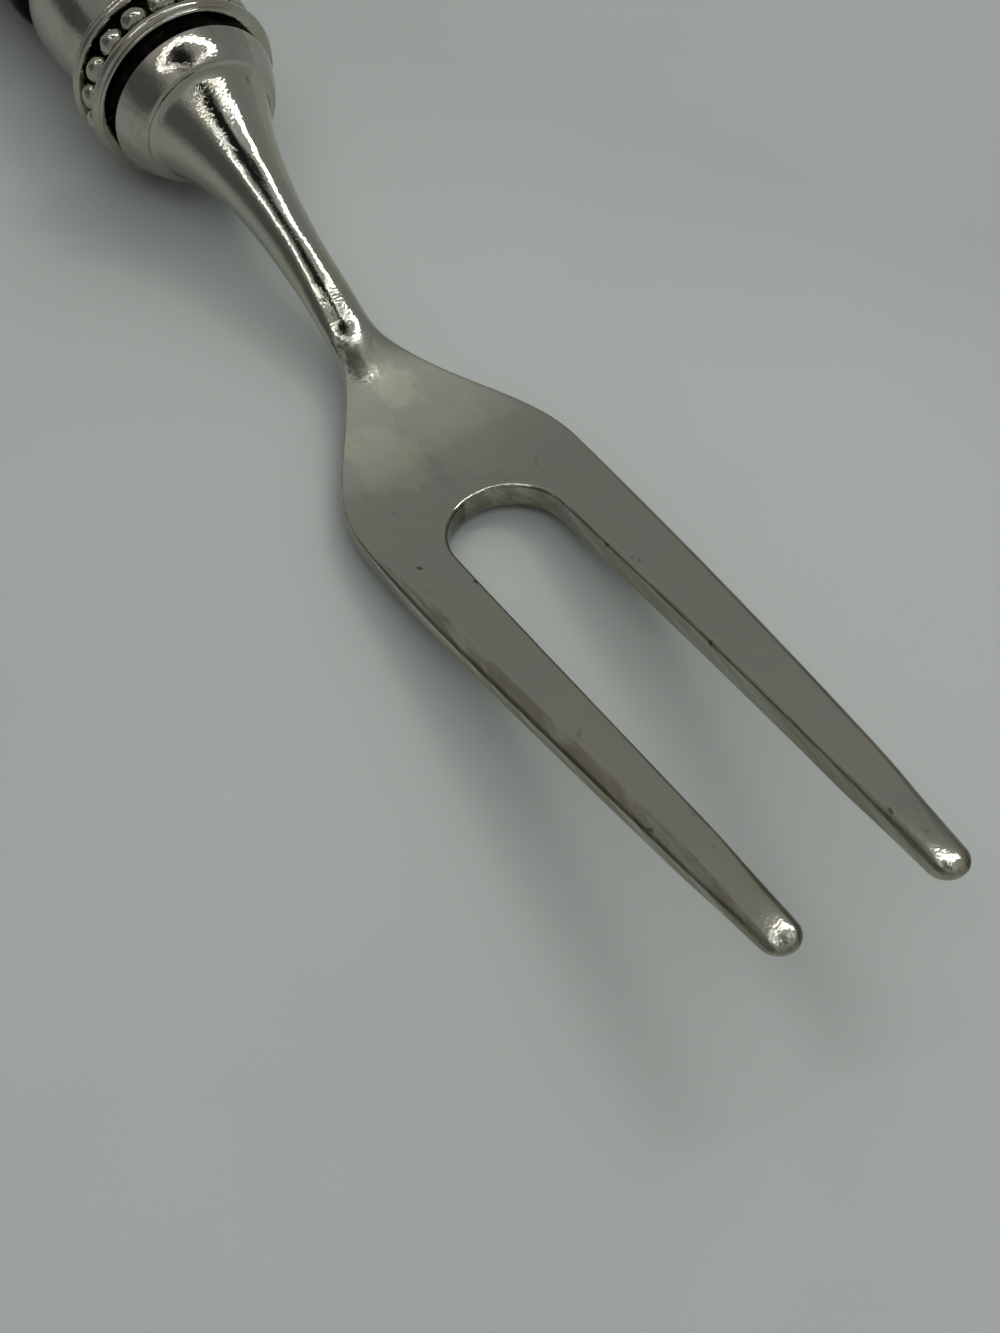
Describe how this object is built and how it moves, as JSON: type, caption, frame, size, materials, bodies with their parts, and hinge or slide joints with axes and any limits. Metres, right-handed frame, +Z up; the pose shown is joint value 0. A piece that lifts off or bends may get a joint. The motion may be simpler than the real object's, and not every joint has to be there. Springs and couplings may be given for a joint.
{
  "type": "appetizer fork",
  "caption": "Small appetizer fork for spearing bites: split curved head on a round neck, beaded silver ferrule, black turned grip and a domed butt with a ball.",
  "frame": {"origin": "middle of the bounding box on the rest plane, under the fork as it lies face up", "axes": "+X along the handle towards the tips, +Z up, away from the rest plane"},
  "size_m": [0.1594, 0.0164, 0.0142],
  "materials": {
    "head_metal": "polished cast silver, lightly tarnished",
    "trim_metal": "bright polished silver",
    "oxidised_metal": "blackened silver, matt in the recesses",
    "grip_wood": "black turned wood, waxed",
    "bedding_resin": "poured resin",
    "washer_steel": "plain washer",
    "nut_brass": "turned brass"
  },
  "bodies": {
    "root": {"fork_head": "head_metal", "collar": "trim_metal", "front_sleeve": "oxidised_metal", "front_wire_fore": "trim_metal", "front_beads": "trim_metal", "front_wire_aft": "trim_metal", "front_bulb": "trim_metal", "bedding": "bedding_resin", "grip": "grip_wood", "washer": "washer_steel", "tang_nut": "nut_brass", "rear_sleeve": "oxidised_metal", "rear_wire_fore": "trim_metal", "rear_beads": "trim_metal", "rear_wire_aft": "trim_metal", "end_cap": "trim_metal", "finial": "trim_metal"}
  },
  "joints": []
}
